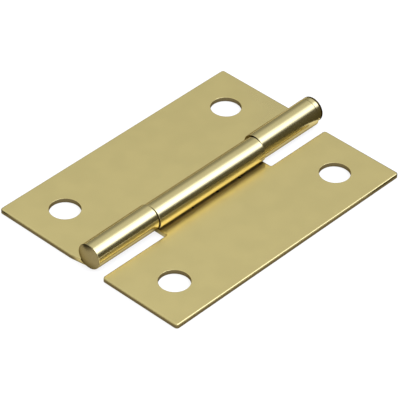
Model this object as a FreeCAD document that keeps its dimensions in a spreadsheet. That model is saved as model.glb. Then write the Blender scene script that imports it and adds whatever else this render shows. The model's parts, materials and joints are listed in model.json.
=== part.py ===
import FreeCAD, Part
import Sketcher
import math
import os

# Pressed-steel butt hinge, lying open and flat, in millimetres.
# The pin runs along Y. Both leaves lie on z = 0 with their backs down.
# The outer leaf reaches towards -X and carries a curl at each end of the pin.
# The centre leaf reaches towards +X and carries the curl between them.

# Driving dimensions; each becomes a named cell of the sheet that the sketches and features read.
SIZES = {
    # leaf blanks: corners in plan, the rolled-over front edge, the small break elsewhere
    "leaf_length": 50.0,
    "leaf_reach": 18.9,
    "sheet_thickness": 0.8,
    "corner_radius": 0.5,
    "die_roll": 0.32,
    "edge_break": 0.06,
    # screw holes
    "hole_diameter": 5.0,
    "hole_spacing": 36.1,
    "hole_reach": 11.75,
    # rolled curls
    "curl_diameter": 4.35,
    "lip_gap": 0.08,
    "centre_curl_length": 23.55,
    "centre_curl_shift": 0.575,
    # notches between the curls
    "notch_reach": 3.5,
    "notch_corner": 0.25,
    "notch_shift": 0.275,
    "curl_end_gap": 0.15,
    # where the loose leaf has slid to
    "joint_hairline": 0.05,
    "pin_pull": 0.08,
    # pin
    "pin_clearance": 0.1,
    "head_inset": 0.02,
    "head_edge_break": 0.06,
    "near_head_height": 0.45,
    "near_head_dome": 0.05,
    "head_seat_clearance": 0.04,
    "head_seat_web": 1.0,
    "far_head_height": 1.35,
    "far_head_dome": 0.15,
    "far_head_round": 0.7,
}

OUTER = -1
CENTRE = 1
RUN_OUT = 1.0
SHARP_TURN = math.radians(20)
CLOSE = 1e-3

doc = FreeCAD.newDocument("butt_hinge")


def fill_sheet():
    sheet = doc.addObject("Spreadsheet::Sheet", "Sizes")
    for row, (alias, value) in enumerate(SIZES.items(), start=1):
        sheet.set("A%d" % row, alias)
        sheet.set("B%d" % row, "%g" % value)
        sheet.setAlias("B%d" % row, alias)
    doc.recompute()
    return sheet


sizes = fill_sheet()


def size(alias):
    return float(sizes.get(alias))


def cell(alias):
    return "<<Sizes>>." + alias


def point(x, y):
    return FreeCAD.Vector(x, y, 0)


def new_body(label):
    body = doc.addObject("PartDesign::Body", label)
    body.Label = label
    return body


def origin_item(body, role):
    """The body's own origin plane or axis of that role."""
    return [item for item in body.Origin.OriginFeatures if item.Role == role][0]


def new_sketch(body, name, plane_role):
    sketch = body.newObject("Sketcher::SketchObject", name)
    sketch.AttachmentSupport = [(origin_item(body, plane_role), "")]
    sketch.MapMode = "FlatFace"
    return sketch


def add_line(sketch, start, end):
    return sketch.addGeometry(Part.LineSegment(point(*start), point(*end)), False)


def add_arc(sketch, centre, radius, start_angle, end_angle):
    circle = Part.Circle(point(*centre), FreeCAD.Vector(0, 0, 1), radius)
    return sketch.addGeometry(Part.ArcOfCircle(circle, start_angle, end_angle), False)


def tie(sketch, *constraint):
    return sketch.addConstraint(Sketcher.Constraint(*constraint))


def drive(sketch, expression, *constraint):
    """Add a dimension and bind its value to the sheet."""
    index = tie(sketch, *constraint)
    sketch.setExpression("Constraints[%d]" % index, expression)


def face_normal(face, where):
    u, v = face.Surface.parameter(where)
    return face.normalAt(u, v)


def middle_of(edge):
    return edge.valueAt((edge.FirstParameter + edge.LastParameter) / 2)


def sharp_edges(shape, wanted=lambda edge: True):
    """Names of the edges where two faces meet at a clear angle."""
    names = []
    for number, edge in enumerate(shape.Edges, start=1):
        faces = shape.ancestorsOfType(edge, Part.Face)
        if len(faces) != 2:
            continue
        middle = middle_of(edge)
        turn = face_normal(faces[0], middle).getAngle(face_normal(faces[1], middle))
        if turn > SHARP_TURN and wanted(edge):
            names.append("Edge%d" % number)
    return names


def dress_edges(body, kind, name, size_alias, wanted=lambda edge: True):
    """Fillet or chamfer the sharp edges that are wanted on the body as it stands."""
    doc.recompute()
    base = body.Tip
    dressing = body.newObject("PartDesign::" + kind, name)
    dressing.Base = (base, sharp_edges(base.Shape, wanted))
    dressing.setExpression({"Fillet": "Radius", "Chamfer": "Size"}[kind], cell(size_alias))
    return dressing


def roll_section(body, side):
    """Section of the sheet: flat leaf, then one turn over the pin down to its lip."""
    reach = side * size("leaf_reach")
    thickness = size("sheet_thickness")
    radius = size("curl_diameter") / 2
    lip_height = thickness + size("lip_gap")
    dip = math.asin((radius - lip_height) / radius)
    bottom = -math.pi / 2
    if side == OUTER:
        start_angle, end_angle, root, lip = bottom, math.pi + dip, 1, 2
    else:
        start_angle, end_angle, root, lip = -dip, bottom + 2 * math.pi, 2, 1
    lip_angle = end_angle if side == OUTER else start_angle

    def on_curl(distance):
        return (distance * math.cos(lip_angle), radius + distance * math.sin(lip_angle))

    sketch = new_sketch(body, body.Label + "_section", "XZ_Plane")
    back = add_line(sketch, (0, 0), (reach, 0))
    rim = add_line(sketch, (reach, 0), (reach, thickness))
    front = add_line(sketch, (reach, thickness), (0, thickness))
    inside = add_arc(sketch, (0, radius), radius - thickness, start_angle, end_angle)
    lip_face = add_line(sketch, on_curl(radius - thickness), on_curl(radius))
    outside = add_arc(sketch, (0, radius), radius, start_angle, end_angle)
    tie(sketch, "Coincident", back, 1, -1, 1)
    tie(sketch, "Horizontal", back)
    tie(sketch, "Coincident", back, 2, rim, 1)
    tie(sketch, "Vertical", rim)
    tie(sketch, "Coincident", rim, 2, front, 1)
    tie(sketch, "Horizontal", front)
    tie(sketch, "Coincident", front, 2, inside, root)
    tie(sketch, "PointOnObject", front, 2, -2)
    tie(sketch, "Coincident", inside, lip, lip_face, 1)
    tie(sketch, "Coincident", lip_face, 2, outside, lip)
    tie(sketch, "Coincident", outside, root, back, 1)
    tie(sketch, "PointOnObject", outside, 3, -2)
    tie(sketch, "Coincident", inside, 3, outside, 3)
    tie(sketch, "PointOnObject", outside, 3, lip_face)
    drive(sketch, cell("leaf_reach"), "Distance", back, size("leaf_reach"))
    drive(sketch, cell("sheet_thickness"), "Distance", rim, thickness)
    drive(sketch, cell("curl_diameter") + " / 2", "Radius", outside, radius)
    drive(sketch, cell("sheet_thickness") + " + " + cell("lip_gap"),
          "DistanceY", -1, 1, lip_face, 2, lip_height)
    pad = body.newObject("PartDesign::Pad", body.Label + "_rolled_sheet")
    pad.Profile = sketch
    pad.SideType = "Symmetric"
    pad.setExpression("Length", cell("leaf_length"))
    return pad


def cut_through(body, name, sketch):
    pocket = body.newObject("PartDesign::Pocket", name)
    pocket.Profile = sketch
    pocket.SideType = "Symmetric"
    pocket.Type = "ThroughAll"
    return pocket


def notch(body, name, side, reach, low, high):
    """Cut the curl away between two stations; reach, low and high are (value, expression)."""
    corner = size("notch_corner")
    open_x = size("curl_diameter") / 2 + RUN_OUT
    open_expression = "%s / 2 + %g" % (cell("curl_diameter"), RUN_OUT)
    bottom_x = side * reach[0]
    turn_x = side * (reach[0] - corner)
    sketch = new_sketch(body, name + "_outline", "XY_Plane")
    lower = add_line(sketch, (-side * open_x, low[0]), (turn_x, low[0]))
    bottom = add_line(sketch, (bottom_x, low[0] + corner), (bottom_x, high[0] - corner))
    upper = add_line(sketch, (turn_x, high[0]), (-side * open_x, high[0]))
    mouth = add_line(sketch, (-side * open_x, high[0]), (-side * open_x, low[0]))
    quarter = math.pi / 2
    if side == OUTER:
        low_arc = add_arc(sketch, (turn_x, low[0] + corner), corner, 2 * quarter, 3 * quarter)
        high_arc = add_arc(sketch, (turn_x, high[0] - corner), corner, quarter, 2 * quarter)
        first, second = 2, 1
    else:
        low_arc = add_arc(sketch, (turn_x, low[0] + corner), corner, -quarter, 0)
        high_arc = add_arc(sketch, (turn_x, high[0] - corner), corner, 0, quarter)
        first, second = 1, 2
    tie(sketch, "Horizontal", lower)
    tie(sketch, "Vertical", bottom)
    tie(sketch, "Horizontal", upper)
    tie(sketch, "Vertical", mouth)
    tie(sketch, "Tangent", lower, 2, low_arc, first)
    tie(sketch, "Tangent", low_arc, second, bottom, 1)
    tie(sketch, "Tangent", bottom, 2, high_arc, first)
    tie(sketch, "Tangent", high_arc, second, upper, 1)
    tie(sketch, "Coincident", upper, 2, mouth, 1)
    tie(sketch, "Coincident", mouth, 2, lower, 1)
    tie(sketch, "Equal", low_arc, high_arc)
    drive(sketch, cell("notch_corner"), "Radius", low_arc, corner)
    if side == OUTER:
        drive(sketch, reach[1], "DistanceX", bottom, 1, -1, 1, reach[0])
        drive(sketch, open_expression, "DistanceX", -1, 1, mouth, 1, open_x)
    else:
        drive(sketch, reach[1], "DistanceX", -1, 1, bottom, 1, reach[0])
        drive(sketch, open_expression, "DistanceX", mouth, 1, -1, 1, open_x)
    drive(sketch, low[1], "DistanceY", -1, 1, lower, 1, low[0])
    drive(sketch, high[1], "DistanceY", -1, 1, upper, 2, high[0])
    return cut_through(body, name, sketch)


def screw_holes(body, side):
    """One punched hole, repeated along the leaf."""
    half_spacing = size("hole_spacing") / 2
    sketch = new_sketch(body, body.Label + "_hole_outline", "XY_Plane")
    centre = point(side * size("hole_reach"), -half_spacing)
    circle = Part.Circle(centre, FreeCAD.Vector(0, 0, 1), size("hole_diameter") / 2)
    hole = sketch.addGeometry(circle, False)
    drive(sketch, cell("hole_diameter"), "Diameter", hole, size("hole_diameter"))
    if side == OUTER:
        drive(sketch, cell("hole_reach"), "DistanceX", hole, 3, -1, 1, size("hole_reach"))
    else:
        drive(sketch, cell("hole_reach"), "DistanceX", -1, 1, hole, 3, size("hole_reach"))
    drive(sketch, cell("hole_spacing") + " / 2", "DistanceY", hole, 3, -1, 1, half_spacing)
    pocket = cut_through(body, body.Label + "_hole", sketch)
    pattern = body.newObject("PartDesign::LinearPattern", body.Label + "_holes")
    pattern.Originals = [pocket]
    pattern.Direction = (origin_item(body, "Y_Axis"), [""])
    pattern.Occurrences = 2
    pattern.setExpression("Length", cell("hole_spacing"))
    body.Tip = pattern
    return pattern


def on_skin(height):
    """Picks the edges that lie on the sheet's back, at height 0, or on its front, flat or rolled."""
    radius = size("curl_diameter") / 2

    def wanted(edge):
        middle = middle_of(edge)
        from_pin = math.hypot(middle.x, middle.z - radius)
        return abs(middle.z - height) < CLOSE or abs(from_pin - (radius - height)) < CLOSE

    return wanted


def finish_blank(body):
    """Round the leaf's corners in plan, then roll the front edge over as the shear leaves it."""
    curl_radius = size("curl_diameter") / 2
    leaf_end = size("leaf_length") / 2

    def is_leaf_corner(edge):
        box = edge.BoundBox
        is_upright = box.XLength + box.YLength < CLOSE
        return is_upright and abs(box.Center.x) > curl_radius and abs(abs(box.Center.y) - leaf_end) < CLOSE

    dress_edges(body, "Fillet", body.Label + "_corners", "corner_radius", is_leaf_corner)
    dress_edges(body, "Fillet", body.Label + "_die_roll", "die_roll", on_skin(size("sheet_thickness")))


def break_edges(body):
    """Take the burr off the back and off the rims of the holes."""
    on_back, on_front = on_skin(0), on_skin(size("sheet_thickness"))
    dress_edges(body, "Chamfer", body.Label + "_edges", "edge_break",
                lambda edge: on_back(edge) or on_front(edge))


def head_seat(body):
    """Face the near curl back for the pin's head; the leaf runs on under it as a tapering web."""
    radius = size("curl_diameter") / 2
    facing = radius + size("head_seat_clearance")
    web = size("head_seat_web")
    web_angle = 2 * math.pi - math.acos(-web / facing)
    sketch = new_sketch(body, "head_seat_outline", "XZ_Plane")
    sketch.setExpression("AttachmentOffset.Base.z", cell("leaf_length") + " / 2")
    rim = add_arc(sketch, (0, radius), facing, 0, web_angle)
    drop = add_line(sketch, (facing, radius), (facing, -RUN_OUT))
    base = add_line(sketch, (facing, -RUN_OUT), (-web, -RUN_OUT))
    rise = add_line(sketch, (-web, -RUN_OUT), (-web, radius + facing * math.sin(web_angle)))
    tie(sketch, "Tangent", rim, 1, drop, 1)
    tie(sketch, "Vertical", drop)
    tie(sketch, "Coincident", drop, 2, base, 1)
    tie(sketch, "Horizontal", base)
    tie(sketch, "Coincident", base, 2, rise, 1)
    tie(sketch, "Vertical", rise)
    tie(sketch, "Coincident", rise, 2, rim, 2)
    tie(sketch, "PointOnObject", rim, 3, -2)
    drive(sketch, cell("curl_diameter") + " / 2", "DistanceY", -1, 1, rim, 3, radius)
    drive(sketch, "%s / 2 + %s" % (cell("curl_diameter"), cell("head_seat_clearance")),
          "Radius", rim, facing)
    drive(sketch, cell("head_seat_web"), "DistanceX", base, 2, -1, 1, web)
    drive(sketch, "%g" % RUN_OUT, "DistanceY", base, 2, -1, 1, RUN_OUT)
    pocket = body.newObject("PartDesign::Pocket", "head_seat")
    pocket.Profile = sketch
    pocket.setExpression("Length", cell("near_head_height"))
    return pocket


def outer_leaf():
    body = new_body("outer_leaf")
    roll_section(body, OUTER)
    half_notch = size("centre_curl_length") / 2 + size("curl_end_gap")
    half_expression = "(%s / 2 + %s)" % (cell("centre_curl_length"), cell("curl_end_gap"))
    notch(body, "outer_leaf_notch", OUTER,
          (size("notch_reach"), cell("notch_reach")),
          (size("notch_shift") - half_notch, cell("notch_shift") + " - " + half_expression),
          (size("notch_shift") + half_notch, cell("notch_shift") + " + " + half_expression))
    finish_blank(body)
    screw_holes(body, OUTER)
    break_edges(body)
    head_seat(body)
    return body


def centre_leaf():
    body = new_body("centre_leaf")
    roll_section(body, CENTRE)
    half_curl = size("centre_curl_length") / 2
    half_leaf = size("leaf_length") / 2
    reach = (size("notch_reach"), cell("notch_reach"))
    curl_low = "%s - %s / 2" % (cell("centre_curl_shift"), cell("centre_curl_length"))
    curl_high = "%s + %s / 2" % (cell("centre_curl_shift"), cell("centre_curl_length"))
    leaf_end = "%s / 2 + %g" % (cell("leaf_length"), RUN_OUT)
    notch(body, "near_notch", CENTRE, reach,
          (-half_leaf - RUN_OUT, "-(%s)" % leaf_end),
          (size("centre_curl_shift") - half_curl, curl_low))
    notch(body, "far_notch", CENTRE, reach,
          (size("centre_curl_shift") + half_curl, curl_high),
          (half_leaf + RUN_OUT, leaf_end))
    finish_blank(body)
    screw_holes(body, CENTRE)
    break_edges(body)
    # Loose on the pin: pulled out by its play, and slid up against the near curl.
    body.setExpression(".Placement.Base.x", cell("pin_pull"))
    body.setExpression(".Placement.Base.y", "%s - %s - %s + %s" % (
        cell("notch_shift"), cell("centre_curl_shift"), cell("curl_end_gap"), cell("joint_hairline")))
    return body


def dome(sketch, tip, height, rim_radius, towards):
    """Shallow dome from the pin's axis out to the head's rim."""
    sphere = (rim_radius ** 2 + height ** 2) / (2 * height)
    half_angle = math.asin(rim_radius / sphere)
    if towards < 0:
        arc = add_arc(sketch, (tip + sphere, 0), sphere, math.pi - half_angle, math.pi)
    else:
        arc = add_arc(sketch, (tip - sphere, 0), sphere, 0, half_angle)
    tie(sketch, "PointOnObject", arc, 3, -1)
    return arc


def hinge_pin():
    """Turned about its own axis: a flush head at the near end, an upset head at the far end."""
    body = new_body("hinge_pin")
    half = size("leaf_length") / 2
    shaft = size("curl_diameter") / 2 - size("sheet_thickness") - size("pin_clearance")
    head = size("curl_diameter") / 2 - size("head_inset")
    near_shoulder = -half + size("near_head_dome")
    near_seat = -half + size("near_head_height")
    far_tip = half + size("far_head_height")
    far_shoulder = far_tip - size("far_head_dome")
    sketch = new_sketch(body, "pin_profile", "YZ_Plane")
    axis = add_line(sketch, (-half, 0), (far_tip, 0))
    near_dome = dome(sketch, -half, size("near_head_dome"), head, -1)
    near_rim = add_line(sketch, (near_shoulder, head), (near_seat, head))
    near_under = add_line(sketch, (near_seat, head), (near_seat, shaft))
    shank = add_line(sketch, (near_seat, shaft), (half, shaft))
    far_under = add_line(sketch, (half, shaft), (half, head))
    far_rim = add_line(sketch, (half, head), (far_shoulder, head))
    far_dome = dome(sketch, far_tip, size("far_head_dome"), head, 1)
    for line in (near_rim, shank, far_rim):
        tie(sketch, "Horizontal", line)
    for line in (near_under, far_under):
        tie(sketch, "Vertical", line)
    tie(sketch, "Coincident", axis, 1, near_dome, 2)
    tie(sketch, "Coincident", near_dome, 1, near_rim, 1)
    tie(sketch, "Coincident", near_rim, 2, near_under, 1)
    tie(sketch, "Coincident", near_under, 2, shank, 1)
    tie(sketch, "Coincident", shank, 2, far_under, 1)
    tie(sketch, "Coincident", far_under, 2, far_rim, 1)
    tie(sketch, "Coincident", far_rim, 2, far_dome, 2)
    tie(sketch, "Coincident", far_dome, 1, axis, 2)
    tie(sketch, "PointOnObject", axis, 1, -1)
    tie(sketch, "PointOnObject", axis, 2, -1)
    curl_radius = cell("curl_diameter") + " / 2"
    half_leaf = cell("leaf_length") + " / 2"
    drive(sketch, half_leaf, "DistanceX", axis, 1, -1, 1, half)
    drive(sketch, "%s + %s" % (half_leaf, cell("far_head_height")),
          "DistanceX", -1, 1, axis, 2, far_tip)
    drive(sketch, "%s - %s" % (half_leaf, cell("near_head_height")),
          "DistanceX", near_under, 1, -1, 1, -near_seat)
    drive(sketch, half_leaf, "DistanceX", -1, 1, far_under, 1, half)
    drive(sketch, "%s - %s" % (curl_radius, cell("head_inset")),
          "DistanceY", -1, 1, near_rim, 1, head)
    drive(sketch, "%s - %s" % (curl_radius, cell("head_inset")),
          "DistanceY", -1, 1, far_rim, 1, head)
    drive(sketch, "%s - %s - %s" % (curl_radius, cell("sheet_thickness"), cell("pin_clearance")),
          "DistanceY", -1, 1, shank, 1, shaft)
    drive(sketch, cell("near_head_dome"),
          "DistanceX", axis, 1, near_rim, 1, size("near_head_dome"))
    drive(sketch, cell("far_head_dome"),
          "DistanceX", far_rim, 2, axis, 2, size("far_head_dome"))
    turned = body.newObject("PartDesign::Revolution", "turned_pin")
    turned.Profile = sketch
    turned.ReferenceAxis = (sketch, ["H_Axis"])
    turned.Angle = 360

    def rim_at(*stations):
        def wanted(edge):
            box = edge.BoundBox
            is_rim = box.YLength < CLOSE and box.XMax > shaft + CLOSE
            return is_rim and any(abs(box.YMin - station) < CLOSE for station in stations)
        return wanted

    dress_edges(body, "Fillet", "far_head_crown", "far_head_round", rim_at(far_shoulder))
    dress_edges(body, "Chamfer", "head_rims", "head_edge_break",
                rim_at(near_shoulder, near_seat, half))
    body.setExpression(".Placement.Base.z", cell("curl_diameter") + " / 2")
    return body


def check(bodies):
    for item in doc.Objects:
        if "Invalid" in item.State or "Error" in item.State:
            raise RuntimeError("%s failed: %s" % (item.Name, item.State))
    for body in bodies:
        if body.Shape.isNull() or not body.Shape.isValid() or len(body.Shape.Solids) != 1:
            raise RuntimeError("%s is not one valid solid" % body.Label)


def export(bodies):
    os.makedirs("parts", exist_ok=True)
    for body in bodies:
        body.Shape.exportStep("parts/%s.step" % body.Label)


pieces = [outer_leaf(), centre_leaf(), hinge_pin()]
doc.recompute()
check(pieces)
export(pieces)
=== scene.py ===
import json
import math

import bmesh
import bpy
from mathutils import Matrix, Vector


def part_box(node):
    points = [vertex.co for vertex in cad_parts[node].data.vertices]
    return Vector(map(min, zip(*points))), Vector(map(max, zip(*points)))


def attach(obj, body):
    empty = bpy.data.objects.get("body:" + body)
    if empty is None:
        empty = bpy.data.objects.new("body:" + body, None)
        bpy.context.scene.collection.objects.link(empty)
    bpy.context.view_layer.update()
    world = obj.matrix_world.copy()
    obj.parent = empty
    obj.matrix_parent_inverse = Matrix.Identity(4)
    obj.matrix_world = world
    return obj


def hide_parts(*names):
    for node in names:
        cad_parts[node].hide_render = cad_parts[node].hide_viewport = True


# Brass-plated butt hinge lying open. The pin runs along Y. Each leaf is made as the real one is:
# a flat blank is punched, which rolls its front edges over, and its tabs are rolled over the pin.
# Lengths are in millimetres for the hinge and the camera, and in metres for the studio.

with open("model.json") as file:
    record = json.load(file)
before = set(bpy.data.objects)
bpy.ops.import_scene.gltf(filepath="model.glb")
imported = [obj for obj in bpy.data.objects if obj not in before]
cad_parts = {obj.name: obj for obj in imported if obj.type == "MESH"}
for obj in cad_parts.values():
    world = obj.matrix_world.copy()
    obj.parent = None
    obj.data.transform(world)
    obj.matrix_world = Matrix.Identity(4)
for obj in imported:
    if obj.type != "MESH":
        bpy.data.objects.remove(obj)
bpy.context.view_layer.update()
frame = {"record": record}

MM = 0.001

# Sheet: its corners in plan, the rolled-over front edges, the small break at the back, and how
# far the curl's lip stays off the leaf
SHEET_THICKNESS = 0.8
CORNER_RADIUS = 0.5
NOTCH_CORNER = 0.25
DIE_ROLL = 0.24
HOLE_ROLL = 0.05
BACK_BREAK = 0.07
LIP_GAP = 0.3

# Narrow flat strip beside a rounding, which keeps it out of the shading of the face next to it
FLAT_MARGIN = 0.08
HEAD_MARGIN = FLAT_MARGIN / 2

# Tabs along the pin, in each leaf's own frame
NOTCH_REACH = 3.5
OUTER_NOTCH = (-11.65, 12.2)
CENTRE_TAB = (-11.2, 12.35)

# Pin with a domed head at each end, the ring cut round the far head as its neck, and the seat that
# the near curl is faced back to, which leaves a web under the near head
PIN_RADIUS = 1.275
HEAD_INSET = 0.02
NEAR_HEAD_HEIGHT = 0.45
NEAR_HEAD_DOME = 0.38
NEAR_HEAD_ROUND = 0.05
FAR_HEAD_DOME = 0.1
FAR_HEAD_ROUND = 0.28
NECK_WIDTH = 0.22
NECK_DEPTH = 0.16
SEAT_CLEARANCE = 0.04
SEAT_WEB = 1.0
RUN_OUT = 1.0

# How far the rolling has let each knuckle's skin slide over in X, at the near and the far end of
# the leaf, over which turn of the wrap that comes, and the share of it that reaches the bore
OUTER_SLIDE = (0.12, -0.42)
CENTRE_SLIDE = (0.16, 0.12)
SLIDE_TURNS = (math.radians(30), math.radians(125))
BORE_SHARE = 0.2

# How finely round things are divided, and which turn between two faces stays a sharp edge
BEND_STEP = math.radians(3)
HOLE_STEPS = 96
QUARTER_STEPS = 10
EDGE_STEPS = 6
PIN_STEPS = 128
SHARP_TURN = math.radians(40)

# How close two places count as one, where the sheet is cut across and along the pin
CUT_TOLERANCE = 1e-5
PLACE_TOLERANCE = 0.01

# Width of the fade from the flat leaf's finish to the curl's
ROLL_FADE = 1.0


def box_mm(node):
    low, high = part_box(node)
    return low / MM, high / MM


def mount_mm(name):
    for mount in frame["record"]["mounts"]:
        if mount["name"] == name:
            return Vector(mount["pos_m"]) / MM, mount["dims"]
    raise ValueError(name)


outer_low, outer_high = box_mm("outer_leaf")
centre_high = box_mm("centre_leaf")[1]
pin_high = box_mm("hinge_pin")[1]

CURL_RADIUS = outer_high.z / 2
LEAF_REACH = -outer_low.x
HALF_LEAF = outer_high.y
HEAD_RADIUS = CURL_RADIUS - HEAD_INSET
NECK_RADIUS = HEAD_RADIUS - NECK_DEPTH
WRAP = math.radians(270) + math.asin((CURL_RADIUS - SHEET_THICKNESS - LIP_GAP) / CURL_RADIUS)
LIP = -CURL_RADIUS * WRAP


def arc_points(centre, radius, start, end, steps):
    return [
        (centre[0] + radius * math.cos(start + (end - start) * i / steps),
         centre[1] + radius * math.sin(start + (end - start) * i / steps))
        for i in range(steps + 1)
    ]


def rounded_outline(corners):
    """Closed outline through (u, y, radius) corners, with an arc at each that has a radius."""
    outline = []
    for i, (u, y, radius) in enumerate(corners):
        here = Vector((u, y))
        if not radius:
            outline.append((u, y))
            continue
        before = (Vector(corners[i - 1][:2]) - here).normalized()
        after = (Vector(corners[(i + 1) % len(corners)][:2]) - here).normalized()
        centre = here + (before + after) * radius
        start = math.atan2(-after.y, -after.x)
        turn = Vector((-after.x, -after.y)).angle_signed(Vector((-before.x, -before.y)))
        outline += arc_points(centre, radius, start, start - turn, QUARTER_STEPS)
    return outline


def signed_area(outline):
    pairs = zip(outline, outline[1:] + outline[:1])
    return sum(a[0] * b[1] - b[0] * a[1] for a, b in pairs) / 2


def inset(outline, depth):
    """Every point of a closed outline moved square to it by depth, to the left of its run."""
    moved = []
    for i, here in enumerate(outline):
        here = Vector(here)
        along = (here - Vector(outline[i - 1])).normalized()
        onward = (Vector(outline[(i + 1) % len(outline)]) - here).normalized()
        left = Vector((-along.y, along.x)) + Vector((-onward.y, onward.x))
        moved.append(here + left * (2 * depth / left.length_squared))
    return moved


def edge_profile(roll_radius):
    """(depth into the metal, height) down a sheared edge, rolled over in front, broken behind."""
    profile = [(roll_radius + FLAT_MARGIN, SHEET_THICKNESS)]
    for i in range(EDGE_STEPS + 1):
        angle = math.pi / 2 * i / EDGE_STEPS
        profile.append((roll_radius * (1 - math.sin(angle)),
                        SHEET_THICKNESS - roll_radius * (1 - math.cos(angle))))
    for i in range(EDGE_STEPS + 1):
        angle = math.pi / 2 * i / EDGE_STEPS
        profile.append((BACK_BREAK * (1 - math.cos(angle)), BACK_BREAK * (1 - math.sin(angle))))
    return profile + [(BACK_BREAK + FLAT_MARGIN, 0)]


def punched_blank(outside, holes):
    """Flat sheet as a bmesh, in (u, y, height); u runs from the tangent line out over the leaf."""
    sheet = bmesh.new()
    rims = {"front": [], "back": []}
    edges = [(outside, DIE_ROLL, True)] + [(hole, HOLE_ROLL, False) for hole in holes]
    for outline, roll_radius, is_outside in edges:
        if (signed_area(outline) > 0) != is_outside:
            outline = outline[::-1]
        rings = [
            [sheet.verts.new((u, y, height)) for u, y in inset(outline, depth)]
            for depth, height in edge_profile(roll_radius)
        ]
        for upper, lower in zip(rings, rings[1:]):
            for i in range(len(upper)):
                sheet.faces.new((upper[i - 1], upper[i], lower[i], lower[i - 1]))
        for rim, ring in (("front", rings[0]), ("back", rings[-1])):
            rims[rim] += [sheet.edges.get((ring[i - 1], ring[i])) for i in range(len(ring))]
    for rim_edges in rims.values():
        bmesh.ops.triangle_fill(sheet, use_beauty=True, use_dissolve=False, edges=rim_edges)
    return sheet


def score_bends(sheet):
    """Cut the tabs across at every bend step, so that they can be rolled."""
    stations = [0.0]
    while stations[-1] > LIP:
        stations.append(stations[-1] - CURL_RADIUS * BEND_STEP)
    for station in stations:
        geometry = list(sheet.verts) + list(sheet.edges) + list(sheet.faces)
        bmesh.ops.bisect_plane(sheet, geom=geometry, dist=CUT_TOLERANCE,
                               plane_co=(station, 0, 0), plane_no=(1, 0, 0))


def slid_over(ends, y, turn, height):
    """How far a knuckle's skin lies off the circle round the pin."""
    along = (y + HALF_LEAF) / (2 * HALF_LEAF)
    grown = min(max((turn - SLIDE_TURNS[0]) / (SLIDE_TURNS[1] - SLIDE_TURNS[0]), 0), 1)
    eased = grown * grown * (3 - 2 * grown)
    share = 1 - (1 - BORE_SHARE) * height / SHEET_THICKNESS
    return (ends[0] + (ends[1] - ends[0]) * along) * eased * share


def rolled_place(u, y, height, side, slide):
    """Where a point of the blank lies once its tab is rolled over the pin, back face outside."""
    if u >= 0:
        return Vector((side * u, y, height))
    turn = -u / CURL_RADIUS
    radius = CURL_RADIUS - height
    return Vector((slid_over(slide, y, turn, height) - side * radius * math.sin(turn),
                   y,
                   CURL_RADIUS - radius * math.cos(turn)))


def unrolled_place(place, side):
    """The other way: (u, y, height) in the blank of a point of the rolled leaf."""
    x, y, z = side * place.x, place.y, place.z
    if x >= 0 and z < SHEET_THICKNESS + LIP_GAP / 2:
        return Vector((x, y, z))
    turn = math.atan2(-x, CURL_RADIUS - z) % (2 * math.pi)
    return Vector((-CURL_RADIUS * turn, y, CURL_RADIUS - math.hypot(x, CURL_RADIUS - z)))


def mesh_of(name, mesh_data):
    bmesh.ops.recalc_face_normals(mesh_data, faces=mesh_data.faces)
    mesh = bpy.data.meshes.new(name)
    mesh_data.to_mesh(mesh)
    mesh_data.free()
    return mesh


def seat_cutter():
    """Prism that faces the near curl back, and stops short of the web under the head."""
    facing = CURL_RADIUS + SEAT_CLEARANCE
    web_turn = 2 * math.pi - math.acos(-SEAT_WEB / facing)
    outline = arc_points((0, CURL_RADIUS), facing, 0, web_turn, PIN_STEPS)
    outline += [(-SEAT_WEB, -RUN_OUT), (facing, -RUN_OUT)]
    cutter = bmesh.new()
    ends = [
        [cutter.verts.new((x, y, z)) for x, z in outline]
        for y in (-HALF_LEAF - RUN_OUT, -HALF_LEAF + NEAR_HEAD_HEIGHT)
    ]
    for i in range(len(outline)):
        cutter.faces.new((ends[0][i - 1], ends[0][i], ends[1][i], ends[1][i - 1]))
    for end in ends:
        cutter.faces.new(end)
    return mesh_of("seat_cutter", cutter)


def cut_head_seat(mesh):
    """The leaf's mesh with the seat for the near head cut out of it."""
    scene = bpy.context.scene
    blank = bpy.data.objects.new("uncut_leaf", mesh)
    cutter = bpy.data.objects.new("seat_cutter", seat_cutter())
    for piece in (blank, cutter):
        scene.collection.objects.link(piece)
    cut = blank.modifiers.new("head_seat", "BOOLEAN")
    cut.operation = "DIFFERENCE"
    cut.solver = "EXACT"
    cut.object = cutter
    evaluated = blank.evaluated_get(bpy.context.evaluated_depsgraph_get())
    seated = bpy.data.meshes.new_from_object(evaluated)
    for piece in (blank, cutter):
        spent = piece.data
        bpy.data.objects.remove(piece)
        bpy.data.meshes.remove(spent)
    return seated


def finished_object(name, mesh, blank_place, sheet_normal, shift, body, node):
    """Object in metres that stands for a CAD node, with the marks that its finish follows.

    blank: the place on the flat sheet, so that the finish follows the sheet round the curl.
    rolled: 0 on the flat leaf, 1 on the curl.
    cut and shade: 0 on the sheet's skin, 1 on a cut edge and in the pin's neck; it places a dark
    tone that is partly painted shade.
    """
    for mark, kind in (("blank", "FLOAT_VECTOR"), ("rolled", "FLOAT"), ("cut_and_shade", "FLOAT")):
        mesh.attributes.new(mark, kind, "POINT")
    blank, rolled, cut_and_shade = (mesh.attributes[mark] for mark in ("blank", "rolled", "cut_and_shade"))
    for vert, normal in zip(mesh.vertices, mesh.vertex_normals):
        place = blank_place(vert.co)
        facing = abs(normal.vector.dot(sheet_normal(vert.co, place)))
        blank.data[vert.index].vector = place
        rolled.data[vert.index].value = min(max(0.5 - place.x / ROLL_FADE, 0.0), 1.0)
        cut_and_shade.data[vert.index].value = 1.0 - facing
    mesh.transform(Matrix.Scale(MM, 4) @ Matrix.Translation(shift))
    mesh.shade_smooth()
    mesh.set_sharp_from_angle(angle=SHARP_TURN)
    piece = bpy.data.objects.new(name, mesh)
    bpy.context.scene.collection.objects.link(piece)
    normals = piece.modifiers.new("even_shading", "WEIGHTED_NORMAL")
    normals.mode = "FACE_AREA"
    normals.keep_sharp = True
    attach(piece, body)
    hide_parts(node)
    return piece


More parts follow.
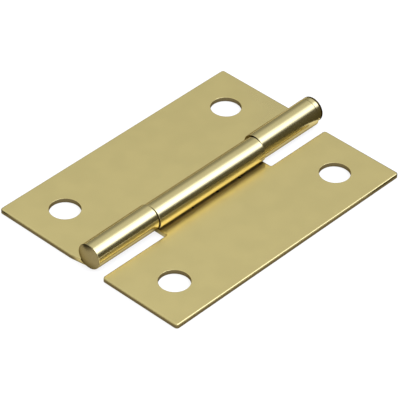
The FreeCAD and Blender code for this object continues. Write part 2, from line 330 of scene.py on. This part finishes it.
def leaf(name, side, corners, slide, shift, body, node, has_head_seat=False):
    hole_centre, dims = mount_mm("outer_leaf_screws")
    holes = [
        arc_points((-hole_centre.x, y), dims["hole_r_mm"], 0, 2 * math.pi, HOLE_STEPS)[:-1]
        for y in (-dims["spacing_y_mm"] / 2, dims["spacing_y_mm"] / 2)
    ]
    sheet = punched_blank(rounded_outline(corners), holes)
    score_bends(sheet)
    for vert in sheet.verts:
        vert.co = rolled_place(*vert.co, side, slide)
    mesh = mesh_of(name, sheet)
    if has_head_seat:
        mesh = cut_head_seat(mesh)
        mesh.name = name

    def blank_place(co):
        return unrolled_place(co, side)

    def sheet_normal(co, place):
        if place.x >= 0:
            return Vector((0, 0, 1))
        return Vector((co.x, 0, co.z - CURL_RADIUS)).normalized()

    return finished_object(name, mesh, blank_place, sheet_normal, shift, body, node)


def outer_leaf():
    corners = [
        (LEAF_REACH, -HALF_LEAF, CORNER_RADIUS),
        (NOTCH_REACH, -HALF_LEAF, 0),
        (SEAT_WEB, -HALF_LEAF + NEAR_HEAD_DOME, 0),
        (LIP, -HALF_LEAF + NEAR_HEAD_DOME, 0),
        (LIP, OUTER_NOTCH[0], 0),
        (NOTCH_REACH, OUTER_NOTCH[0], NOTCH_CORNER),
        (NOTCH_REACH, OUTER_NOTCH[1], NOTCH_CORNER),
        (LIP, OUTER_NOTCH[1], 0),
        (LIP, HALF_LEAF, 0),
        (LEAF_REACH, HALF_LEAF, CORNER_RADIUS),
    ]
    return leaf("outer_leaf_sheet", -1, corners, OUTER_SLIDE, Vector((0, 0, 0)),
                "outer_half", "outer_leaf", has_head_seat=True)


def centre_leaf():
    shift = Vector((centre_high.x - LEAF_REACH, centre_high.y - HALF_LEAF, 0))
    corners = [
        (LEAF_REACH, -HALF_LEAF, CORNER_RADIUS),
        (NOTCH_REACH, -HALF_LEAF, CORNER_RADIUS),
        (NOTCH_REACH, CENTRE_TAB[0], NOTCH_CORNER),
        (LIP, CENTRE_TAB[0], 0),
        (LIP, CENTRE_TAB[1], 0),
        (NOTCH_REACH, CENTRE_TAB[1], NOTCH_CORNER),
        (NOTCH_REACH, HALF_LEAF, CORNER_RADIUS),
        (LEAF_REACH, HALF_LEAF, CORNER_RADIUS),
    ]
    return leaf("centre_leaf_sheet", 1, corners, CENTRE_SLIDE, shift,
                "centre_half", "centre_leaf")


def crown(tip, inward, dome, edge_radius):
    """(y, radius) from the axis over a shallow dome to the head's rounded rim."""
    steps = EDGE_STEPS * 2
    flat = HEAD_RADIUS - edge_radius
    sphere = (HEAD_RADIUS ** 2 + dome ** 2) / (2 * dome)
    tilt = math.asin(flat / (sphere - edge_radius))
    profile = []
    for i in range(steps + 1):
        angle = tilt * i / steps
        profile.append((tip + inward * sphere * (1 - math.cos(angle)), sphere * math.sin(angle)))
    centre = (tip + inward * (sphere - (sphere - edge_radius) * math.cos(tilt)), flat)
    for i in range(1, steps + 1):
        angle = tilt + (math.pi / 2 - tilt) * i / steps
        profile.append((centre[0] - inward * edge_radius * math.cos(angle),
                        centre[1] + edge_radius * math.sin(angle)))
    return profile


def hinge_pin():
    near_seat = -HALF_LEAF + NEAR_HEAD_HEIGHT
    far_crown = crown(pin_high.y, -1, FAR_HEAD_DOME, FAR_HEAD_ROUND)[::-1]
    neck_end = far_crown[0][0]
    neck_start = neck_end - NECK_WIDTH
    profile = crown(-HALF_LEAF, 1, NEAR_HEAD_DOME, NEAR_HEAD_ROUND) + [
        (near_seat - HEAD_MARGIN, HEAD_RADIUS),
        (near_seat, HEAD_RADIUS),
        (near_seat, PIN_RADIUS),
        (HALF_LEAF, PIN_RADIUS),
        (HALF_LEAF, HEAD_RADIUS),
        (HALF_LEAF + HEAD_MARGIN, HEAD_RADIUS),
        (neck_start - HEAD_MARGIN, HEAD_RADIUS),
        (neck_start, HEAD_RADIUS),
        (neck_start, NECK_RADIUS),
        (neck_end, NECK_RADIUS),
    ] + far_crown

    def slid_aside(y, radius):
        """How far over in X the pin lies: the far head goes with the knuckle that it closes."""
        is_head_back = y > HALF_LEAF - PLACE_TOLERANCE and radius > PIN_RADIUS
        return OUTER_SLIDE[1] if is_head_back or y > HALF_LEAF + PLACE_TOLERANCE else 0

    pin = bmesh.new()
    rings = []
    for y, radius in profile:
        steps = PIN_STEPS if radius else 1
        aside = slid_aside(y, radius)
        rings.append([
            pin.verts.new((aside + radius * math.cos(2 * math.pi * i / steps), y,
                           CURL_RADIUS + radius * math.sin(2 * math.pi * i / steps)))
            for i in range(steps)
        ])
    for here, there in zip(rings, rings[1:]):
        for i in range(PIN_STEPS):
            quad = [here[i - 1 if len(here) > 1 else 0], here[i if len(here) > 1 else 0],
                    there[i if len(there) > 1 else 0], there[i - 1 if len(there) > 1 else 0]]
            pin.faces.new(list(dict.fromkeys(quad)))

    def off_axis(co):
        radius = math.hypot(co.x, co.z - CURL_RADIUS)
        return Vector((co.x - slid_aside(co.y, radius), 0, co.z - CURL_RADIUS))

    def blank_place(co):
        """The pin has no flat part, so all of it counts as rolled."""
        return Vector((-ROLL_FADE, co.y, off_axis(co).length))

    def sheet_normal(co, place):
        """Square to the pin's skin; zero on the axis and in the neck, so that both are dark; in
        the neck groove that dark is painted shade.
        """
        is_neck = (HALF_LEAF < co.y < neck_end + PLACE_TOLERANCE
                   and PIN_RADIUS < place.z < HEAD_RADIUS - NECK_DEPTH / 2)
        if not place.z or is_neck:
            return Vector((0, 0, 0))
        return off_axis(co).normalized()

    return finished_object("pin_turned", mesh_of("pin_turned", pin), blank_place, sheet_normal,
                           Vector((0, 0, 0)), "outer_half", "hinge_pin")


class Shading:
    """Short forms for the nodes that a finish or the studio is made of."""

    def __init__(self, tree):
        self.tree = tree

    def add(self, kind, **settings):
        node = self.tree.nodes.new("ShaderNode" + kind)
        for name, value in settings.items():
            setattr(node, name, value)
        return node

    def feed(self, socket, value):
        if isinstance(value, bpy.types.NodeSocket):
            self.tree.links.new(value, socket)
        else:
            socket.default_value = value

    def calc(self, operation, *values):
        node = self.add("Math", operation=operation)
        for socket, value in zip(node.inputs, values):
            self.feed(socket, value)
        return node.outputs[0]

    def ease(self, value, low, high, start=0.0, end=1.0):
        node = self.add("MapRange", interpolation_type="SMOOTHSTEP")
        for name, given in (("Value", value), ("From Min", low), ("From Max", high),
                            ("To Min", start), ("To Max", end)):
            self.feed(node.inputs[name], given)
        return node.outputs[0]

    def mark(self, name, output="Fac"):
        return self.add("Attribute", attribute_name=name).outputs[output]

    def patches(self, place, scale, share):
        """Soft patches between -share and share."""
        node = self.add("TexNoise")
        node.inputs["Scale"].default_value = scale
        node.inputs["Detail"].default_value = 1.0
        self.feed(node.inputs["Vector"], place)
        return self.ease(node.outputs[0], *PATCH_SPAN, -share, share)

    def ramp(self, value, stops):
        node = self.add("ValToRGB")
        elements = node.color_ramp.elements
        while len(elements) < len(stops):
            elements.new(1.0)
        for element, (position, level) in zip(elements, stops):
            element.position = position
            element.color = (level, level, level, 1)
        self.feed(node.inputs["Fac"], value)
        return node.outputs["Color"]

    def blend(self, factor, first, second):
        """Colour mix; its sockets go by number, because other kinds of mix share their names."""
        node = self.add("Mix", data_type="RGBA")
        for index, value in ((0, factor), (6, first), (7, second)):
            self.feed(node.inputs[index], value)
        return node.outputs[2]


# Plating: its colours and its polish
LEAF_BRASS = (0.73, 0.588, 0.234, 1)
CURL_BRASS = (0.66, 0.54, 0.24, 1)
# Dark tone of the sheet's cut edges and hole walls: partly the bare cut steel's own, partly
# painted shade
CUT_AND_SHADE_BRASS = (0.19, 0.145, 0.065, 1)
# Dark tone of the pin's upset ends and neck: partly the bare metal's own, partly painted shade; in
# the neck groove it is all painted shade
UPSET_AND_SHADE_BRASS = (0.26, 0.203, 0.088, 1)
GRAZING_TINT = (0.6, 0.53, 0.4, 1)
LEAF_ROUGHNESS = 0.30
CURL_ROUGHNESS = 0.175
CUT_ROUGHNESS = 0.06

# Soft patches in its colour and in its roughness: how many per millimetre of the sheet, how strong
# they are, and the span of the noise that makes them
COLOR_PATCH_SCALE = 0.25
COLOR_PATCHES = 0.02
ROUGHNESS_PATCH_SCALE = 0.8
ROUGHNESS_PATCHES = 0.02
PATCH_SPAN = (0.3, 0.7)

# Where the dark tone comes in, partly the bare cut or upset metal's own and partly painted shade:
# over which turn away from the skin on the sheet and on the pin's upset ends, and where an edge
# lies beyond the notches and at an end of the leaf
CUT_AND_SHADE_TURN = (0.5, 0.9)
UPSET_AND_SHADE_TURN = (0.02, 0.12)
PAST_NOTCH = (NOTCH_REACH + 0.2, NOTCH_REACH + 0.8)
LEAF_END = (HALF_LEAF - 0.9, HALF_LEAF - 0.5)


def brass(name, cut_and_shade_tone, cut_and_shade_turn, is_sheet):
    """Bright plating over rolled steel: satin on the flat leaf, shinier where it is rolled.

    The sheet's cut edges are dark, partly from the bare cut metal and partly from painted shade,
    but bright again along the notches.
    """
    material = bpy.data.materials.new(name)
    material.use_nodes = True
    shading = Shading(material.node_tree)
    shader = material.node_tree.nodes["Principled BSDF"]
    shader.inputs["Metallic"].default_value = 1.0
    shader.inputs["Specular Tint"].default_value = GRAZING_TINT
    blank = shading.mark("blank", "Vector")
    rolled = shading.mark("rolled")
    # Where the dark tone goes, partly the bare metal's own and partly painted shade
    cut = shading.ease(shading.mark("cut_and_shade"), *cut_and_shade_turn)
    # Painted shade on the sheet's cut edges: it stays beyond the notches, on the curl and at the
    # leaf's ends, and is left off the notch walls
    if is_sheet:
        place = shading.add("SeparateXYZ")
        shading.feed(place.inputs[0], blank)
        from_middle = shading.calc("ABSOLUTE", place.outputs["Y"])
        dark = shading.calc("MAXIMUM", shading.ease(place.outputs["X"], *PAST_NOTCH), rolled)
        dark = shading.calc("MAXIMUM", dark, shading.ease(from_middle, *LEAF_END))
        cut = shading.calc("MULTIPLY", cut, dark)

    clouds = shading.patches(blank, COLOR_PATCH_SCALE, COLOR_PATCHES)
    tone = shading.add("VectorMath", operation="SCALE")
    shading.feed(tone.inputs[0], shading.blend(rolled, LEAF_BRASS, CURL_BRASS))
    shading.feed(tone.inputs["Scale"], shading.calc("ADD", 1.0, clouds))
    shading.feed(shader.inputs["Base Color"], shading.blend(cut, tone.outputs[0], cut_and_shade_tone))

    polish = shading.ease(rolled, 0.0, 1.0, LEAF_ROUGHNESS, CURL_ROUGHNESS)
    uneven = shading.patches(blank, ROUGHNESS_PATCH_SCALE, ROUGHNESS_PATCHES)
    uneven = shading.calc("MULTIPLY", uneven, shading.calc("SUBTRACT", 1.0, rolled))
    rough = shading.calc("MULTIPLY_ADD", cut, CUT_ROUGHNESS, polish)
    shading.feed(shader.inputs["Roughness"], shading.calc("ADD", rough, uneven))
    return material


def direction(azimuth, elevation):
    """Unit vector; azimuth runs from +Y towards +X, in degrees."""
    az, el = math.radians(azimuth), math.radians(elevation)
    return Vector((math.sin(az) * math.cos(el), math.cos(az) * math.cos(el), math.sin(el)))


def square(name, half):
    mesh = bpy.data.meshes.new(name)
    corners = [(-half, -half, 0), (half, -half, 0), (half, half, 0), (-half, half, 0)]
    mesh.from_pydata(corners, [], [(0, 1, 2, 3)])
    return mesh


def lit_card(name, mesh, radiance, color, mask):
    """Card with a soft edge that lights or darkens the hinge; the camera doesn't see it."""
    card = bpy.data.objects.new(name, mesh)
    bpy.context.scene.collection.objects.link(card)
    material = bpy.data.materials.new(name)
    material.use_nodes = True
    tree = material.node_tree
    tree.nodes.clear()
    shading = Shading(tree)
    glow = shading.add("Emission")
    glow.inputs["Color"].default_value = color
    glow.inputs["Strength"].default_value = radiance
    soft = shading.add("MixShader")
    shading.feed(soft.inputs[0], mask(shading))
    shading.feed(soft.inputs[1], shading.add("BsdfTransparent").outputs[0])
    shading.feed(soft.inputs[2], glow.outputs[0])
    shading.feed(shading.add("OutputMaterial").inputs["Surface"], soft.outputs[0])
    mesh.materials.append(material)
    card.visible_camera = False
    return card


def softbox(azimuth, elevation, distance, core, reach, radiance, color):
    """Round soft light; core and reach are the angles from its middle between which it fades."""
    bright, half = (distance * math.tan(math.radians(angle)) for angle in (core, reach))

    def mask(shading):
        length = shading.add("VectorMath", operation="LENGTH")
        shading.feed(length.inputs[0], shading.add("TexCoord").outputs["Object"])
        return shading.ease(length.outputs["Value"], bright, half, 1.0, 0.0)

    card = lit_card("softbox", square("softbox", half), radiance, color, mask)
    away = direction(azimuth, elevation)
    card.location = away * distance
    card.rotation_mode = "QUATERNION"
    card.rotation_quaternion = away.to_track_quat("Z", "Y")


# Flags: their tint, how finely they are bent, how far over the table they lie, and the share of
# their half width from which they fade sideways
FLAG_TINT = (1.0, 0.93, 0.55, 1)
FLAG_STEPS = 24
FLAG_HEIGHT = 0.0005
FLAG_CORE = 0.7


def dark_flag(azimuths, top, near, distance, radiance):
    """Dark card round part of the table, flat from near to distance and bent up there.

    top holds the two elevations between which it fades upwards.
    """
    fade_start, high = (distance * math.tan(math.radians(angle)) for angle in top)
    start, end = azimuths
    verts = []
    for i in range(FLAG_STEPS + 1):
        away = direction(start + (end - start) * i / FLAG_STEPS, 0)
        section = ((near, FLAG_HEIGHT), (distance, FLAG_HEIGHT), (distance, high))
        verts += [(away.x * reach, away.y * reach, height) for reach, height in section]
    faces = [(3 * i + row, 3 * i + 3 + row, 3 * i + 4 + row, 3 * i + 1 + row)
             for i in range(FLAG_STEPS) for row in (0, 1)]
    mesh = bpy.data.meshes.new("flag")
    mesh.from_pydata(verts, [], faces)
    middle = direction((start + end) / 2, 0)
    spread = math.radians(end - start) / 2

    def mask(shading):
        place = shading.add("TexCoord").outputs["Object"]
        apart = shading.add("SeparateXYZ")
        shading.feed(apart.inputs[0], place)
        upward = shading.ease(apart.outputs["Z"], fade_start, high, 1.0, 0.0)
        level = shading.add("VectorMath", operation="MULTIPLY")
        shading.feed(level.inputs[0], place)
        level.inputs[1].default_value = (1, 1, 0)
        outward = shading.add("VectorMath", operation="NORMALIZE")
        shading.feed(outward.inputs[0], level.outputs[0])
        across = shading.add("VectorMath", operation="DOT_PRODUCT")
        shading.feed(across.inputs[0], outward.outputs[0])
        across.inputs[1].default_value = middle
        sideways = shading.ease(across.outputs["Value"],
                                math.cos(spread), math.cos(spread * FLAG_CORE))
        return shading.calc("MULTIPLY", upward, sideways)

    card = lit_card("flag", mesh, radiance, FLAG_TINT, mask)
    card.visible_shadow = False
    card.visible_diffuse = False


# The walls' tint, and their strength over the sine of the elevation
SKY_TINT = (0.94, 1.0, 1.12, 1)
SKY_STRENGTHS = ((0.0, 0.40), (0.45, 0.46), (0.62, 0.80), (0.8, 0.92))


def sky():
    """Pale studio walls, darker towards the floor."""
    world = bpy.data.worlds.new("studio")
    bpy.context.scene.world = world
    world.use_nodes = True
    shading = Shading(world.node_tree)
    apart = shading.add("SeparateXYZ")
    shading.feed(apart.inputs[0], shading.add("TexCoord").outputs["Generated"])
    level = shading.ramp(apart.outputs["Z"], SKY_STRENGTHS)
    background = world.node_tree.nodes["Background"]
    background.inputs["Color"].default_value = SKY_TINT
    shading.feed(background.inputs["Strength"], level)


# The table's half width, and how far its top lies under the hinge
FLOOR_HALF = 3.0
FLOOR_DROP = 0.00002
FLOOR_TONE = (0.212, 0.2, 0.17, 1)
FLOOR_ROUGHNESS = 0.9

# The table's glow beside the hinge and far off, and between which distances it falls, a painted
# pool of light round the hinge; from how near the hinge darkens it with a painted contact shadow,
# and the share of that shadow which the camera sees
FLOOR_GLOW = 0.88
FAR_FLOOR_GLOW = 0.3
GLOW_FADE = (0.06, 0.16)
CONTACT_REACH = 0.0016
CONTACT_SEEN = 0.15


def floor():
    """White table; for the rays that see it most of its white is glow, so shadows stay faint."""
    mesh = square("floor", FLOOR_HALF)
    table = bpy.data.objects.new("floor", mesh)
    bpy.context.scene.collection.objects.link(table)
    table.location.z = -FLOOR_DROP
    material = bpy.data.materials.new("floor")
    material.use_nodes = True
    shading = Shading(material.node_tree)
    shader = material.node_tree.nodes["Principled BSDF"]
    shader.inputs["Base Color"].default_value = FLOOR_TONE
    shader.inputs["Roughness"].default_value = FLOOR_ROUGHNESS
    shader.inputs["Emission Color"].default_value = (1, 1, 1, 1)
    path = shading.add("LightPath")
    seen = shading.calc("MAXIMUM", path.outputs["Is Camera Ray"], path.outputs["Is Glossy Ray"])
    seen = shading.calc("MAXIMUM", seen, path.outputs["Is Transmission Ray"])
    # The glow fades with distance from the hinge: a painted pool of light round it
    away = shading.add("VectorMath", operation="LENGTH")
    shading.feed(away.inputs[0], shading.add("TexCoord").outputs["Object"])
    glow = shading.ease(away.outputs["Value"], *GLOW_FADE, FLOOR_GLOW, FAR_FLOOR_GLOW)
    # Painted contact shadow: ambient occlusion near the hinge takes glow off the table
    occlusion = shading.add("AmbientOcclusion")
    occlusion.inputs["Distance"].default_value = CONTACT_REACH
    painted_contact_shadow = shading.calc("SUBTRACT", 1.0, occlusion.outputs["AO"])
    depth = shading.ease(path.outputs["Is Camera Ray"], 0.0, 1.0, 1.0, CONTACT_SEEN)
    open_share = shading.calc("SUBTRACT", 1.0, shading.calc("MULTIPLY", painted_contact_shadow, depth))
    glow = shading.calc("MULTIPLY", glow, open_share)
    shading.feed(shader.inputs["Emission Strength"], shading.calc("MULTIPLY", seen, glow))
    mesh.materials.append(material)


def studio():
    sky()
    floor()
    softbox(azimuth=60, elevation=50, distance=0.9, core=12, reach=44, radiance=3.3,
            color=(0.86, 0.97, 1.42, 1))
    dark_flag(azimuths=(-25, 95), top=(22, 43), near=0.0265, distance=0.3, radiance=0.09)
    dark_flag(azimuths=(185, 255), top=(6, 14), near=0.0305, distance=0.3, radiance=0.04)


def photo_camera():
    """Camera of the photograph; its place was fitted to the hinge's edges, holes and knuckle."""
    azimuth, elevation, roll_angle = (math.radians(angle) for angle in (42.55, 39.25, 1.3))
    distance, aim_right, aim_up = 438.14, -0.285, -0.950
    back = Vector((math.sin(azimuth) * math.cos(elevation),
                   -math.cos(azimuth) * math.cos(elevation),
                   math.sin(elevation)))
    level_right = Vector((math.cos(azimuth), math.sin(azimuth), 0))
    level_up = back.cross(level_right)
    right = level_right * math.cos(roll_angle) + level_up * math.sin(roll_angle)
    up = back.cross(right)
    data = bpy.data.cameras.new("photo_camera")
    data.lens = 255.14
    data.sensor_width = 36.0
    camera = bpy.data.objects.new("photo_camera", data)
    bpy.context.scene.collection.objects.link(camera)
    turn = Matrix((right, up, back)).transposed().to_4x4()
    spot = (back * distance + right * aim_right + up * aim_up) * MM
    camera.matrix_world = Matrix.Translation(spot) @ turn
    bpy.context.scene.camera = camera


photo_camera()
studio()
leaf_plating = brass("leaf_plating", CUT_AND_SHADE_BRASS, CUT_AND_SHADE_TURN, is_sheet=True)
pin_plating = brass("pin_plating", UPSET_AND_SHADE_BRASS, UPSET_AND_SHADE_TURN, is_sheet=False)
for make_piece, plating in (
    (outer_leaf, leaf_plating),
    (centre_leaf, leaf_plating),
    (hinge_pin, pin_plating),
):
    make_piece().data.materials.append(plating)

bpy.context.scene.view_settings.view_transform = "Standard"
